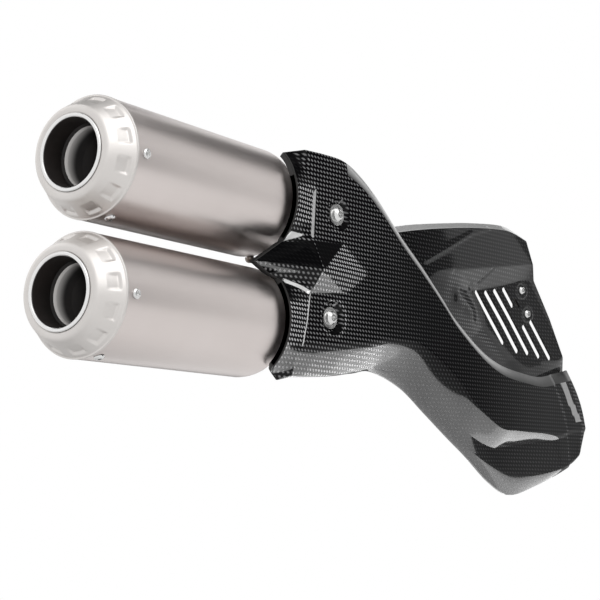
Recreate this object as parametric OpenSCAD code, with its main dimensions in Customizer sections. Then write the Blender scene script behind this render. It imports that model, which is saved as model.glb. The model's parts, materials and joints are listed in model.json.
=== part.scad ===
// Twin-muffler exhaust with a carbon heat shield and a slotted heel guard.
// Units are millimetres. X runs forward along the muffler axes, Y inboard and Z up.
// Stations along a muffler are measured forward from the outer edge of its end face.
// The sleeves' front ends keep their place, so a longer sleeve grows backwards.
// The origin is the centre of the inlet socket's mouth.

/* [Mufflers] */
// Outside diameter of each sleeve
sleeve_d = 100; // [94:1:104]
// Wall of each sleeve
sleeve_wall = 1.2; // [0.8:0.1:2]
// Length of each sleeve
sleeve_len = 216; // [200:1:222]
// Gap between the two sleeves
sleeve_gap = 10; // [8:1:14]
// How far the upper muffler is set forward of the lower one
stagger = 6; // [0:1:8]

/* [End caps] */
// Depth of the end cap from its face to its rim
cap_depth = 18.5; // [16:0.5:24]
// Width of the rim that stops the sleeve
rim_w = 2; // [1.5:0.5:4]
// Diameter of the face's outer edge
face_d = 77.8; // [72:0.2:82]
// Number of pockets round the flank
pocket_count = 12; // [8:1:14]
// Width of one pocket
pocket_w = 13; // [8:0.5:15]
// Inside diameter of the outlet tube
outlet_d = 56; // [50:1:57]
// Wall of the outlet tube
outlet_wall = 1.5; // [1:0.1:2]
// Length of the outlet tube inside the muffler
outlet_len = 45; // [40:1:60]
// Screws round each end cap, from the outboard side downwards
cap_screw_count = 4; // [2:1:5]
// Angle between neighbouring screws
cap_screw_pitch = 72; // [60:1:72]

/* [Noise inserts] */
// Depth of the insert's rear edge inside the outlet
insert_depth = 17; // [10:1:24]
// Bore of the insert's collar
insert_collar_d = 49; // [44:1:50]
// Bore of the insert's inner tube
insert_tube_d = 40; // [30:1:42]
// Overall length of the insert
insert_len = 95; // [70:1:110]

/* [Pipes] */
// Outside diameter of the link pipes
pipe_d = 50; // [46:1:52]
// Wall of the link pipes
pipe_wall = 1.5; // [1:0.1:2.5]
// Radius of the pipe bends
bend_r = 60; // [55:1:62]
// Bore of the inlet socket
socket_d = 54.2; // [53:0.1:56]
// Length of the inlet socket's bore
socket_len = 30; // [24:1:40]
// Distance of the inlet's mouth forward of the sleeves' front ends
inlet_ahead = 403.35; // [393.35:1:413.35]
// Distance of the inlet outboard of the mufflers' plane
inlet_out = 66; // [62:1:68]
// Distance of the inlet below the middle of the two mufflers
inlet_drop = 112; // [106:1:116]

/* [Springs] */
// Wire diameter of the retaining springs
wire_d = 2; // [1.5:0.1:2.4]
// Mean diameter of the coils
coil_d = 12; // [10:0.5:13]
// Curls in each spring
curl_count = 10; // [6:1:11]

/* [Heat shield] */
// Thickness of the carbon sheets
sheet = 2; // [1.5:0.1:2.5]
// Clearance between the sleeves and the shield's collar
collar_gap = 8; // [6:0.5:9]
// Outboard lean of the shield for each millimetre forward
flare = 0.15; // [0.14:0.005:0.16]
// Height of the arrow-shaped fin above the skin
fin_rise = 9; // [5:0.5:12]
// Depth of the dished recess under each shield bolt
dish_depth = 4; // [2:0.5:5]
// Diameter of the dished recess
dish_d = 28; // [26:1:32]
// Diameter of the shield washers
washer_d = 20; // [18:1:25]
// Width of the heel guard's slots
slot_w = 6; // [3:0.5:7]

/* [Hidden] */

titanium = "#b5b0aa";
cast_silver = "#d8d8d6";
dark_steel = "#55504c";
bright_steel = "#c8c8c8";
carbon = "#1c1c1e";
wool = "#c9b98a";
rubber = "#202020";

UPPER = 1;
LOWER = -1;

// Clearance between pieces that are welded, bolted or pushed together
seat_gap = 0.15;
// Radial clearance of the sliding inserts, the slip necks and the turning clamp
slide_gap = 0.06;
round_fn = 96;
small_fn = 32;

// Muffler stations and radii
sleeve_r = sleeve_d / 2;
sleeve_in_r = sleeve_r - sleeve_wall;
spigot_r = sleeve_in_r - seat_gap;
spigot_wall = 2.5;
spigot_len = 15;
rim_proud = 0.3;
face_r = face_d / 2;
outlet_r = outlet_d / 2;
outlet_out_r = outlet_r + outlet_wall;
hub_r = outlet_out_r + seat_gap;
hub_len = 8;
lip_proud = 3.9;
lip_r = outlet_out_r + 1.7;
sleeve_start = cap_depth + rim_w + seat_gap;
sleeve_end = sleeve_start + sleeve_len;
front_cap_start = sleeve_end + seat_gap;
sleeve_front_x = 236.65;
tail_x = sleeve_front_x - sleeve_end;
screw_station = sleeve_start + 8.5;
stud_station = sleeve_end + 7;
cap_screw_r = 2.4;
screw_hole_r = cap_screw_r + 0.1;
screw_head_r = 4.4;
screw_head_h = 2.1;
stud_r = 3.2;
stud_head_r = 4.9;
stud_angle = -90;

// Pockets on the flank
pocket_floor_r = face_r + 3;
pocket_end = cap_depth - 3.5;
pocket_corner_r = 3;
lower_pocket_turn = 5;

// Front cap, slip neck and core
pipe_r = pipe_d / 2;
neck_in_r = pipe_r + slide_gap;
neck_r = neck_in_r + 2;
shoulder_r = 9;
shoulder_steps = 6;
neck_end = front_cap_start + 49;
core_wall = 1;
core_r = outlet_r + core_wall;
core_start = outlet_len + seat_gap;
core_end = front_cap_start - 2;
core_row_count = 6;
core_hole_r = 3;
packing_gap = 0.3;

// Springs and their tabs
spring_r = 38;
tab_t = 3;
tab_w = 10;
tab_top_r = spring_r - 2;
cap_tab_end = front_cap_start + 19;
pipe_tab_start = neck_end + 18;
lead_r = 3;
rings_per_curl = 8;
wire_sides = 6;
spring_end_gap = 0.2;
spring_clear_len = pipe_tab_start - cap_tab_end - 2 * spring_end_gap;
coil_len = spring_clear_len - 2 * (lead_r + wire_d);
upper_spring_angles = [180, -90];
lower_spring_angles = [180, 90];

// Pipe routes, in the mufflers' frame
half_spacing = (sleeve_d + sleeve_gap) / 2;
inlet_x = sleeve_front_x + inlet_ahead;
inlet_at = [inlet_x, -inlet_out, -inlet_drop];
stub_x = tail_x + front_cap_start + 8;
weld_lap = 8;
bead_w = 2.4;
bead_h = 0.4;
link_corner_x = 490;
branch_corner_x = 356;
socket_lap = socket_len + 4;
link_route = [
    [stub_x - stagger / 2, 0, -half_spacing],
    [link_corner_x, 0, -half_spacing],
    [inlet_x - 75, -inlet_out, -inlet_drop],
    [inlet_x - socket_lap, -inlet_out, -inlet_drop]
];
branch_end = [branch_corner_x + 50, 0, -half_spacing];
branch_route = [
    [stub_x + stagger / 2, 0, half_spacing], [branch_corner_x, 0, half_spacing], branch_end
];

// Inlet socket and clamp, from the inlet's mouth
socket_r = socket_d / 2;
socket_wall = 1.8;
socket_out_r = socket_r + socket_wall;
lap_r = pipe_r + seat_gap;
slit_w = 2;
slit_len = 20;
clamp_w = 14;
clamp_end = -6;
clamp_in_r = socket_out_r + slide_gap;
clamp_r = clamp_in_r + 1.6;
lug_gap = 5;
lug_t = 3;
lug_top = clamp_r + 16;
clamp_bolt_y = clamp_r + 8;
clamp_bolt_r = 3;
hex_r = 5.77;
clamp_x = clamp_end - clamp_w / 2;

// Shield skin: a plane that leans outboard as it runs forward
skin_x = 260;
skin_angle = atan(flare);
collar_r = sleeve_r + collar_gap;
collar_x = sleeve_front_x - 3.4;
collar_top = 98;
collar_bottom = -107;
collar_tuck = 35;
collar_top_sweep = 4;
collar_bottom_sweep = 15;
crease_top = 100;
crease_bottom = -104;
bolt_x = 293;
bolt_inset = 7;
shield_bolt_r = 3;
post_r = 7;
post_depth = -skin(bolt_x) - pipe_r / 2;
bolt_depth = 26;
washer_t = 1.6;
head_r = 6.5;
head_h = 4.2;
dish_wall = 2;
stay_at = [520, -80];
stay_r = 6;
buffer_r = 10;
buffer_len = 10.5;
stay_end_y = -52;
stay_depth = stay_end_y - skin(stay_at[0]);

// Crease between the collar's band and the shield's face: height and x
crease = [
    [crease_bottom, 255], [-90, 249], [-76, 252], [-53, 257], [-28, 260],
    [43, 263], [66, 264], [76, 261], [87, 256], [crease_top, 248]
];

// Rails of the shield as [x, z] points, from its rear to its front edge
top_rail = [
    [270, 100.5], [300, 99.5], [324, 92], [354, 73], [391, 42], [426, 16], [458, -10],
    [483, -31], [527, -58], [564, -72], [605, -78], [638, -80], [672, -74], [696, -66.5]
];
face_rail = [
    [270, -72], [307, -69], [344, -65], [376, -60], [416, -59], [451, -71], [486, -90],
    [516, -113], [560, -136], [593, -139], [638, -140], [674, -141], [707, -134], [738, -132]
];
fold_rail = [
    [270, -99], [309, -96], [346, -90], [380, -84], [421, -88], [459, -108], [496, -128],
    [530, -146], [572, -158], [605, -156], [645, -151], [679, -146], [709, -139], [737, -137]
];
rim_rail = [
    [270, -101.5], [309, -98.5], [346, -93], [381, -88], [426, -98], [465, -121], [502, -143],
    [537, -162], [583, -177], [618, -183], [656, -184], [686, -178], [714, -168], [731, -157]
];
bottom_rail = [
    [270, -103], [309, -100], [346, -95], [381, -91], [428, -104], [468, -127], [505, -149],
    [540, -169], [585, -195], [622, -208], [660, -198], [690, -184], [716, -172], [729, -160]
];
rails = [top_rail, face_rail, fold_rail, rim_rail, bottom_rail];

// Shape at each station: step at the fold, curl of the bottom edge, forward bow, inboard turn, top roll
shapes = [
    [12, 3, 0, 0, 4], [14, 3, 0, 0, 4], [16, 4, 0, 0, 4], [18, 5, 0, 0, 4], [18, 6, 0, 0, 4],
    [18, 6, 0, 0, 4], [18, 6, 0, 0, 4], [18, 6, 0, 0, 4], [18, 8, 0, 0, 4], [16, 9, 0, 0, 4],
    [10, 8, 0, 0, 4], [3, 5, 1, 0, 4], [2, 3, 4, 1, 3], [1, 2, 9, 5, 0]
];
station_steps = 2;
roll_reach = 0.1;
row_places = [
    0, 0.05, 0.1, 0.2, 0.3, 0.39, 0.47, 0.55, 0.604, 0.69, 0.77, 0.84, 0.92,
    1, 1.3, 1.6, 2, 2.5, 3, 3.5, 4
];

// Arrow-shaped fin: tail tip, front end and half widths
fin_tip = [195, -42, -7];
fin_front_x = 342;
fin_fade = 60;
fin_half_w = 25;
tail_up_w = 23;
tail_down_w = 13;

// Floor of the heel guard's recess: a plane that leans outboard as it runs forward
tuck_gap = 5;
tuck_front = 5;
floor_x = 552;
floor_at_y = out_y(22);
floor_lean = 0.295;
floor_angle = atan(floor_lean);

// Heel guard: rows from the top edge to the tucked lower edge, from the swoosh to the front edge
guard_rows = [
    [[381, out_y(5), 48], [465, out_y(22), 65], [578, out_y(39), 78.5], [604, out_y(45), 73]],
    [[374, out_y(9), 35], [457, out_y(26), 53], [568, out_y(45), 67], [610, out_y(51), 60]],
    [[430, out_y(16), 11], [502, out_y(31), 22], [613, out_y(51), 40], [622, out_y(54), 41]],
    [[478, floor_y(478), -12], [552, floor_y(552), 7], [624, floor_y(624), 25], [633, out_y(55), 25]],
    [[560, floor_y(560), -75], [617, floor_y(617), -63], [675, floor_y(675), -60], [685, out_y(62), -55]],
    [
        [566, tuck_y(566), -82], [617, tuck_y(617), -85],
        [676, tuck_y(676) + tuck_front, -80], [692, tuck_y(692) + tuck_front, -74]
    ]
];
slot_angle = 51;
slot_reach = 30;
slots = [[551, 4, 64], [566, 5, 75], [579, 8, 80], [592, 11, 20], [623, -27, 38], [634, -20, 48]];
heel_screw_at = [[618, 13], [627, -12]];
heel_screw_r = 2.5;
heel_head_r = 4.5;
bracket_t = 3;
bracket_w = 26;
bracket_low = -19;
bracket_high = 24;
arm_inboard = -20;
hanger_hole_r = 4.25;
hanger_h = 34;
hanger_hole_z = 45;

// Vector helpers
function mix(a, b, t) = a + (b - a) * t;
function unit(v) = v / norm(v);
function clamped(v) = max(0, min(1, v));

// Smooth curve through the rows of a list, at a fractional index
function along(rows, u) =
    let (
        last = len(rows) - 1,
        i = min(floor(u), last - 1),
        t = u - i,
        p0 = rows[max(i - 1, 0)],
        p1 = rows[i],
        p2 = rows[i + 1],
        p3 = rows[min(i + 2, last)]
    )
    0.5 * (2 * p1 + (p2 - p0) * t + (2 * p0 - 5 * p1 + 4 * p2 - p3) * t * t
        + (3 * p1 - p0 - 3 * p2 + p3) * t * t * t);

// Y at a distance outboard of the collar's radius
function out_y(distance) = -collar_r - distance;
function skin(x) = out_y(flare * (x - skin_x));
function tuck_y(x) = skin(x) + sheet + tuck_gap;
function floor_y(x) = floor_at_y - floor_lean * (x - floor_x);

// Moves a drawing from the mufflers' frame to the inlet's frame
module from_tail() {
    translate(-inlet_at) children();
}

// Draws on the upper or the lower muffler, with its axis along X
module on_muffler(side) {
    from_tail() translate([tail_x + side * stagger / 2, 0, side * half_spacing]) children();
}

// Turns a profile of [radius, station] points about the X axis
module turned(profile) {
    rotate([0, 90, 0]) rotate_extrude($fn = round_fn) polygon(profile);
}

// Places a drawing round the X axis, from outboard towards up, with local -Y pointing out
module at_angle(angle) {
    rotate([-angle, 0, 0]) children();
}

// A peg along local -Y, from one depth to another
module peg(r, from_y, to_y, fn = small_fn) {
    translate([0, to_y, 0]) rotate([90, 0, 0]) cylinder(r = r, h = to_y - from_y, $fn = fn);
}

// A domed screw head along local -Y with a hexagon socket, seated at y = 0
module button_head(r, h, socket_r) {
    difference() {
        rotate([90, 0, 0]) rotate_extrude($fn = small_fn)
            polygon([[0, 0], [r, 0], [r * 0.94, h * 0.45], [r * 0.72, h * 0.86], [r * 0.5, h], [0, h]]);
        peg(socket_r, -h - 1, -h * 0.35, 6);
    }
}

// Frame whose axes are the three given unit vectors
module in_frame(origin, x_dir, y_dir, z_dir) {
    multmatrix([
        [x_dir.x, y_dir.x, z_dir.x, origin.x],
        [x_dir.y, y_dir.y, z_dir.y, origin.y],
        [x_dir.z, y_dir.z, z_dir.z, origin.z]
    ]) children();
}

// A round bar or a tube between two points
module bar(a, b, r, bore = 0) {
    z_dir = unit(b - a);
    x_dir = unit(cross([0, 1, 0.01], z_dir));
    in_frame(a, x_dir, cross(z_dir, x_dir), z_dir) linear_extrude(norm(b - a)) ring(r, bore);
}

module ring(r, bore) {
    difference() {
        circle(r, $fn = round_fn);
        if (bore > 0) circle(bore, $fn = round_fn);
    }
}

// Length that a bend takes up on each side of a corner of a route
function bend_reach(route, i) =
    i == 0 || i == len(route) - 1 ? 0
    : bend_r * tan(turn_angle(route, i) / 2);

function run_dir(route, i) = unit(route[i + 1] - route[i]);
function turn_angle(route, i) = acos(run_dir(route, i - 1) * run_dir(route, i));

// A weld bead that joins a bend to the straight tube next to it
module weld_bead(at, dir, r, bore) {
    bar(at - dir * bead_w / 2, at + dir * bead_w / 2, r + bead_h, bore - bead_h);
}

// A bent tube along a route of corner points
module bent_tube(route, r, bore) {
    for (i = [0 : len(route) - 2]) {
        dir = run_dir(route, i);
        bar(route[i] + dir * bend_reach(route, i), route[i + 1] - dir * bend_reach(route, i + 1), r, bore);
    }
    for (i = [1 : len(route) - 2]) {
        d1 = run_dir(route, i - 1);
        d2 = run_dir(route, i);
        inward = unit(d2 - d1 * (d1 * d2));
        centre = route[i] - d1 * bend_reach(route, i) + inward * bend_r;
        in_frame(centre, -inward, d1, cross(-inward, d1))
            rotate_extrude(angle = turn_angle(route, i), $fn = round_fn)
                translate([bend_r, 0]) ring(r, bore);
        weld_bead(route[i] - d1 * bend_reach(route, i), d1, r, bore);
        weld_bead(route[i] + d2 * bend_reach(route, i), d2, r, bore);
    }
}

// Muffler pieces

// Draws at each screw of an end cap, with local -Y pointing out
module at_screws() {
    for (i = [0 : cap_screw_count - 1])
        at_angle(-cap_screw_pitch * i) translate([screw_station, 0, 0]) children();
}

module screw_holes() {
    at_screws() peg(screw_hole_r, -sleeve_r - 1, -sleeve_r + 8);
}

module sleeve(side) {
    color(titanium) on_muffler(side) difference() {
        turned([
            [sleeve_in_r, sleeve_start], [sleeve_r, sleeve_start],
            [sleeve_r, sleeve_end], [sleeve_in_r, sleeve_end]
        ]);
        screw_holes();
    }
}

// Outline of one pocket: local X runs back from the rim, with round corners at the rim end
module pocket_outline() {
    straight = pocket_end - pocket_corner_r;
    side = pocket_w / 2 - pocket_corner_r;
    translate([-straight, -pocket_w / 2]) square([straight + lip_proud, pocket_w]);
    translate([-pocket_end, -side]) square([pocket_end, 2 * side]);
    for (s = [-1, 1])
        translate([-straight, s * side]) circle(pocket_corner_r, $fn = small_fn);
}

module end_cap(side) {
    spigot_end = cap_depth + rim_w + spigot_len;
    spigot_in_r = spigot_r - spigot_wall;
    rim_r = sleeve_r + rim_proud;
    turn = side == LOWER ? lower_pocket_turn : 0;
    color(cast_silver) on_muffler(side) difference() {
        turned([
            [hub_r, -0.5], [lip_r + 0.6, -0.5], [lip_r + 1, -2.6], [lip_r + 2.6, -3.2],
            [face_r - 2.4, -2.6], [face_r - 0.7, -1.2], [face_r, 0],
            [sleeve_r - 1, cap_depth], [rim_r, cap_depth + 0.3], [rim_r, cap_depth + rim_w],
            [spigot_r, cap_depth + rim_w], [spigot_r, spigot_end], [spigot_in_r, spigot_end],
            [spigot_in_r, cap_depth + rim_w + 3], [pocket_floor_r - 3.5, cap_depth - 1.5],
            [hub_r + 4, hub_len], [hub_r, hub_len]
        ]);
        for (i = [0 : pocket_count - 1])
            rotate([360 / pocket_count * (i + 0.5) + turn, 0, 0])
                translate([0, 0, pocket_floor_r]) rotate([0, 0, 180])
                    linear_extrude(sleeve_r) pocket_outline();
        screw_holes();
    }
}

module outlet_tube(side) {
    color(dark_steel) on_muffler(side) turned([
        [outlet_r, 0.7 - lip_proud], [outlet_r + 0.7, -lip_proud], [lip_r - 0.7, -lip_proud],
        [lip_r, 0.7 - lip_proud], [lip_r, -0.9], [outlet_out_r, -0.9],
        [outlet_out_r, outlet_len], [outlet_r, outlet_len]
    ]);
}

module noise_insert(side) {
    insert_r = outlet_r - slide_gap;
    collar_in_r = insert_collar_d / 2;
    tube_in_r = insert_tube_d / 2;
    tube_out_r = tube_in_r + 1.5;
    collar_end = insert_depth + 23;
    taper_end = collar_end + 12;
    insert_end = insert_depth + insert_len;
    color(dark_steel) on_muffler(side) turned([
        [collar_in_r, insert_depth + 4.5], [collar_in_r + 0.8, insert_depth + 2],
        [insert_r - 0.6, insert_depth], [insert_r, insert_depth + 0.6], [insert_r, collar_end],
        [tube_out_r, taper_end], [tube_out_r, insert_end], [tube_in_r, insert_end],
        [tube_in_r, taper_end], [collar_in_r, collar_end - 1]
    ]);
}

module core(side) {
    pitch = (core_end - core_start) / (core_row_count + 1);
    color(bright_steel) on_muffler(side) difference() {
        turned([[outlet_r, core_start], [core_r, core_start], [core_r, core_end], [outlet_r, core_end]]);
        for (row = [1 : core_row_count], turn = [0 : 60 : 120])
            translate([core_start + row * pitch, 0, 0]) rotate([turn + row * 30, 0, 0])
                cylinder(r = core_hole_r, h = 2 * core_r + 2, center = true, $fn = small_fn);
    }
}

module packing(side) {
    pack_start = cap_depth + rim_w + spigot_len + packing_gap;
    pack_end = front_cap_start - spigot_len - packing_gap;
    pack_in_r = outlet_out_r + packing_gap;
    color(wool) on_muffler(side) turned([
        [pack_in_r, pack_start + 8], [sleeve_in_r - packing_gap, pack_start],
        [sleeve_in_r - packing_gap, pack_end], [pack_in_r, pack_end]
    ]);
}

// Round shoulder of the front cap, from the sleeve's end to the cap's face
function shoulder() = [
    for (i = [0 : shoulder_steps])
        let (a = 90 * i / shoulder_steps)
        [sleeve_r - 0.3 - shoulder_r * 0.6 * (1 - cos(a)), front_cap_start + 1 + shoulder_r * sin(a)]
];

// Draws at the spacer stud, with local -Y pointing out
module on_stud() {
    at_angle(stud_angle) translate([stud_station, 0, 0]) children();
}

module front_cap(side) {
    angles = side == UPPER ? upper_spring_angles : lower_spring_angles;
    face_end = front_cap_start + 1 + shoulder_r;
    core_spigot_r = outlet_r - seat_gap;
    core_spigot_start = core_end - 14;
    color(titanium) on_muffler(side) difference() {
        union() {
            turned(concat(
                [
                    [spigot_r, front_cap_start - spigot_len], [spigot_r, front_cap_start],
                    [sleeve_r - 0.3, front_cap_start]
                ],
                shoulder(),
                [
                    [neck_r, face_end + 5], [neck_r, neck_end], [neck_in_r, neck_end],
                    [neck_in_r, core_spigot_start], [core_spigot_r, core_spigot_start],
                    [core_spigot_r, face_end], [spigot_r - 6, face_end - 4],
                    [spigot_r - spigot_wall, front_cap_start],
                    [spigot_r - spigot_wall, front_cap_start - spigot_len]
                ]
            ));
            for (angle = angles)
                at_angle(angle) translate([face_end, -tab_top_r, -tab_w / 2])
                    cube([cap_tab_end - face_end, tab_top_r - neck_r + 0.5, tab_w]);
        }
        if (side == UPPER) on_stud() peg(stud_r + seat_gap, -sleeve_r - 1, -sleeve_r + 11);
    }
}

module cap_screws(side) {
    color(bright_steel) on_muffler(side) at_screws() {
        translate([0, -sleeve_r - seat_gap, 0]) button_head(screw_head_r, screw_head_h, 1.7);
        peg(cap_screw_r, -sleeve_r - seat_gap - 0.5, -sleeve_r + sleeve_wall + spigot_wall);
    }
}

// Stud that keeps the mufflers apart, screwed into the upper front cap
module spacer_stud() {
    color(dark_steel) on_muffler(UPPER) on_stud() {
        translate([0, -sleeve_r - seat_gap, 0]) button_head(stud_head_r, 4.5, 1.7);
        peg(stud_r, -sleeve_r - 1, -sleeve_r + 10);
    }
}

// Retaining springs

// Centre line of a spring: straight lead, quarter bend, coils, quarter bend, straight lead
coil_r = coil_d / 2;
coil_pitch = coil_len / curl_count;
coil_ring_count = curl_count * rings_per_curl;
lead_angles = [90, 60, 30];
function lead_point(a) = [-lead_r * (1 - cos(a)), 0, 0] + [0, 0, lead_r * sin(a)];
start_lead = concat([lead_point(90) - [wire_d, 0, 0]], [for (a = lead_angles) lead_point(a)]);
coil_start = [0, -coil_r, 0];
coil_line = [
    for (i = [0 : coil_ring_count])
        let (a = 180 + 360 * i / rings_per_curl)
        [coil_pitch * i / rings_per_curl, coil_r * cos(a), coil_r * sin(a)]
];
spring_line = concat(
    [for (p = start_lead) coil_start + p],
    coil_line,
    [for (i = [len(start_lead) - 1 : -1 : 0]) coil_start + [coil_len, 0, 0] - start_lead[i]]
);
function coil_side(i) =
    let (k = min(max(i - len(start_lead), 0), coil_ring_count), a = 180 + 360 * k / rings_per_curl)
    [0, cos(a), sin(a)];
function line_dir(i) =
    unit(spring_line[min(i + 1, len(spring_line) - 1)] - spring_line[max(i - 1, 0)]);
spring_points = [
    for (i = [0 : len(spring_line) - 1])
        let (dir = line_dir(i), side = unit(coil_side(i) - dir * (coil_side(i) * dir)), up = cross(dir, side))
        for (k = [0 : wire_sides - 1])
            let (a = 360 * k / wire_sides)
            spring_line[i] + wire_d / 2 * (cos(a) * side + sin(a) * up)
];
function ring_index(i, k) = i * wire_sides + k % wire_sides;
spring_faces = concat(
    [for (i = [0 : len(spring_line) - 2], k = [0 : wire_sides - 1])
        [ring_index(i, k), ring_index(i + 1, k), ring_index(i, k + 1)]],
    [for (i = [0 : len(spring_line) - 2], k = [0 : wire_sides - 1])
        [ring_index(i, k + 1), ring_index(i + 1, k), ring_index(i + 1, k + 1)]],
    [for (k = [1 : wire_sides - 2]) [0, k, k + 1]],
    [for (k = [1 : wire_sides - 2])
        let (e = (len(spring_line) - 1) * wire_sides) [e, e + k + 1, e + k]]
);
spring_gap = min([
    for (i = [0 : len(spring_line) - 1], j = [i + 6 : 1 : len(spring_line) - 1])
        norm(spring_line[i] - spring_line[j])
]) - wire_d;
echo(least_spring_gap = spring_gap);

module springs(side) {
    angles = side == UPPER ? upper_spring_angles : lower_spring_angles;
    color(bright_steel) on_muffler(side)
        for (angle = angles)
            at_angle(angle)
                translate([cap_tab_end + spring_end_gap + lead_r + wire_d, -spring_r, 0]) rotate([180, 0, 0])
                    polyhedron(spring_points, spring_faces, convexity = 10);
}

module spring_tabs() {
    for (side = [UPPER, LOWER]) {
        angles = side == UPPER ? upper_spring_angles : lower_spring_angles;
        color(dark_steel) on_muffler(side)
            for (angle = angles)
                at_angle(angle) difference() {
                    translate([pipe_tab_start, -tab_top_r, -tab_w / 2])
                        cube([tab_t, tab_top_r - pipe_r + 4, tab_w]);
                    rotate([0, 90, 0])
                        cylinder(r = pipe_r + seat_gap, h = 2 * pipe_tab_start, $fn = round_fn);
                }
    }
}

// Link pipes and inlet

module link_pipe() {
    back_dir = unit(branch_route[1] - branch_end);
    color(dark_steel) from_tail() difference() {
        bent_tube(link_route, pipe_r, pipe_r - pipe_wall);
        bar(branch_end, branch_end + back_dir * pipe_d, pipe_r - pipe_wall - 1);
    }
}

module upper_branch() {
    color(dark_steel) from_tail() difference() {
        bent_tube(branch_route, pipe_r, pipe_r - pipe_wall);
        bar(link_route[0], link_route[1], pipe_r + seat_gap);
    }
}

module inlet_socket() {
    color(dark_steel) difference() {
        turned([
            [socket_r, 0], [socket_out_r, 0], [socket_out_r, -socket_len - 1],
            [lap_r + socket_wall, -socket_lap - 1], [lap_r + socket_wall, -socket_lap - weld_lap],
            [lap_r, -socket_lap - weld_lap], [lap_r, -socket_lap + 1], [socket_r, -socket_len]
        ]);
        for (turn = [45 : 90 : 315])
            rotate([turn, 0, 0]) translate([-slit_len, -slit_w / 2, 0])
                cube([slit_len + 1, slit_w, socket_out_r + 1]);
    }
}

module inlet_clamp() {
    color(bright_steel) difference() {
        union() {
            turned([
                [clamp_in_r, clamp_end - clamp_w], [clamp_r, clamp_end - clamp_w],
                [clamp_r, clamp_end], [clamp_in_r, clamp_end]
            ]);
            for (side = [-1, 1])
                translate([clamp_end - clamp_w, clamp_in_r + 0.4, side * (lug_gap + lug_t) / 2 - lug_t / 2])
                    cube([clamp_w, lug_top - clamp_in_r, lug_t]);
        }
        translate([clamp_end - clamp_w - 1, 0, -lug_gap / 2]) cube([clamp_w + 2, lug_top + 1, lug_gap]);
        translate([clamp_x, clamp_bolt_y, 0])
            cylinder(r = clamp_bolt_r + 0.2, h = 4 * lug_gap, center = true, $fn = small_fn);
    }
}

lug_face = lug_gap / 2 + lug_t;

module clamp_bolt() {
    color(bright_steel) translate([clamp_x, clamp_bolt_y, 0]) {
        translate([0, 0, -lug_face - 9]) cylinder(r = clamp_bolt_r, h = 2 * lug_face + 9.5, $fn = small_fn);
        translate([0, 0, lug_face + seat_gap]) cylinder(r = hex_r, h = 4, $fn = 6);
    }
}

module clamp_nut() {
    color(bright_steel) translate([clamp_x, clamp_bolt_y, -lug_face - seat_gap - 5]) difference() {
        cylinder(r = hex_r, h = 5, $fn = 6);
        translate([0, 0, -1]) cylinder(r = clamp_bolt_r + seat_gap, h = 7, $fn = small_fn);
    }
}

// Heat shield

// Draws on the shield's skin, with local -Y pointing straight out of it
module on_skin(x, z) {
    from_tail() translate([x, skin(x), z]) rotate([0, 0, -skin_angle]) children();
}

// Draws at a shield bolt
module on_bolt(side) {
    on_skin(bolt_x + side * stagger / 2, side * (half_spacing - bolt_inset)) children();
}

// Height of the fin above the skin at a point of the shield
function fin_height(x, z) =
    fin_rise * clamped(1 - abs(z - fin_tip.z) / fin_half_w) * clamped((fin_front_x - x) / fin_fade);

// Point of a row in X and Z at a station index; rows are placed by rail number
function rail_point(u, place) =
    let (i = min(floor(place), len(rails) - 2))
    mix(along(rails[i], u), along(rails[i + 1], u), place - i);

// Inboard step of a row at a station index
function row_step(u, place) =
    let (shape = along(shapes, u))
    shape[4] * pow(clamped(1 - place / roll_reach), 2)
    + shape[0] * pow(clamped(place - 1), 1.3)
    + clamped(place - 2)
    + shape[1] * pow(clamped(place - 3), 1.5)
    + shape[3];

// Point of the shield's skin at a station index and a row
function skin_point(u, place) =
    let (at = rail_point(u, place), bow = along(shapes, u)[2] * sin(180 * clamped(place)))
    [at.x + bow, skin(at.x) + row_step(u, place) - fin_height(at.x, at.y), at.y];

// Share of a row's way from the shield's top to its bottom, at its rear end
function row_share(place) =
    (top_rail[0].y - rail_point(0, place).y) / (top_rail[0].y - bottom_rail[0].y);

// Point of the collar's rear edge, which follows both sleeves and runs out to the fin's tip
function collar_point(share) =
    let (
        z = mix(collar_top, collar_bottom, share),
        side = z > fin_tip.z ? UPPER : LOWER,
        rise = z - side * half_spacing,
        ring_y = sqrt(max(0, collar_r * collar_r - rise * rise)),
        tail = clamped(1 - abs(z - fin_tip.z) / (side == UPPER ? tail_up_w : tail_down_w)),
        top_sweep = collar_top_sweep * clamped(1 - share / 0.1),
        bottom_sweep = collar_bottom_sweep * clamped(share / 0.05 - 19),
        ring_x = collar_x + side * stagger / 2 + top_sweep + bottom_sweep
    )
    [mix(ring_x, fin_tip.x, tail), -max(ring_y, tail > 0 ? -fin_tip.y : collar_tuck), z];

// Point of the crease where the collar's band meets the shield's face
function crease_point(place) =
    let (z = mix(crease_top, crease_bottom, row_share(place)), x = lookup(z, crease))
    [x, skin(x) + row_step(0, place) - fin_height(x, z), z];

shield_grid = concat(
    [[for (place = row_places) collar_point(row_share(place))]],
    [[for (place = row_places) crease_point(place)]],
    [for (u = [0 : 1 / station_steps : len(shapes) - 1]) [for (place = row_places) skin_point(u, place)]]
);

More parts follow.
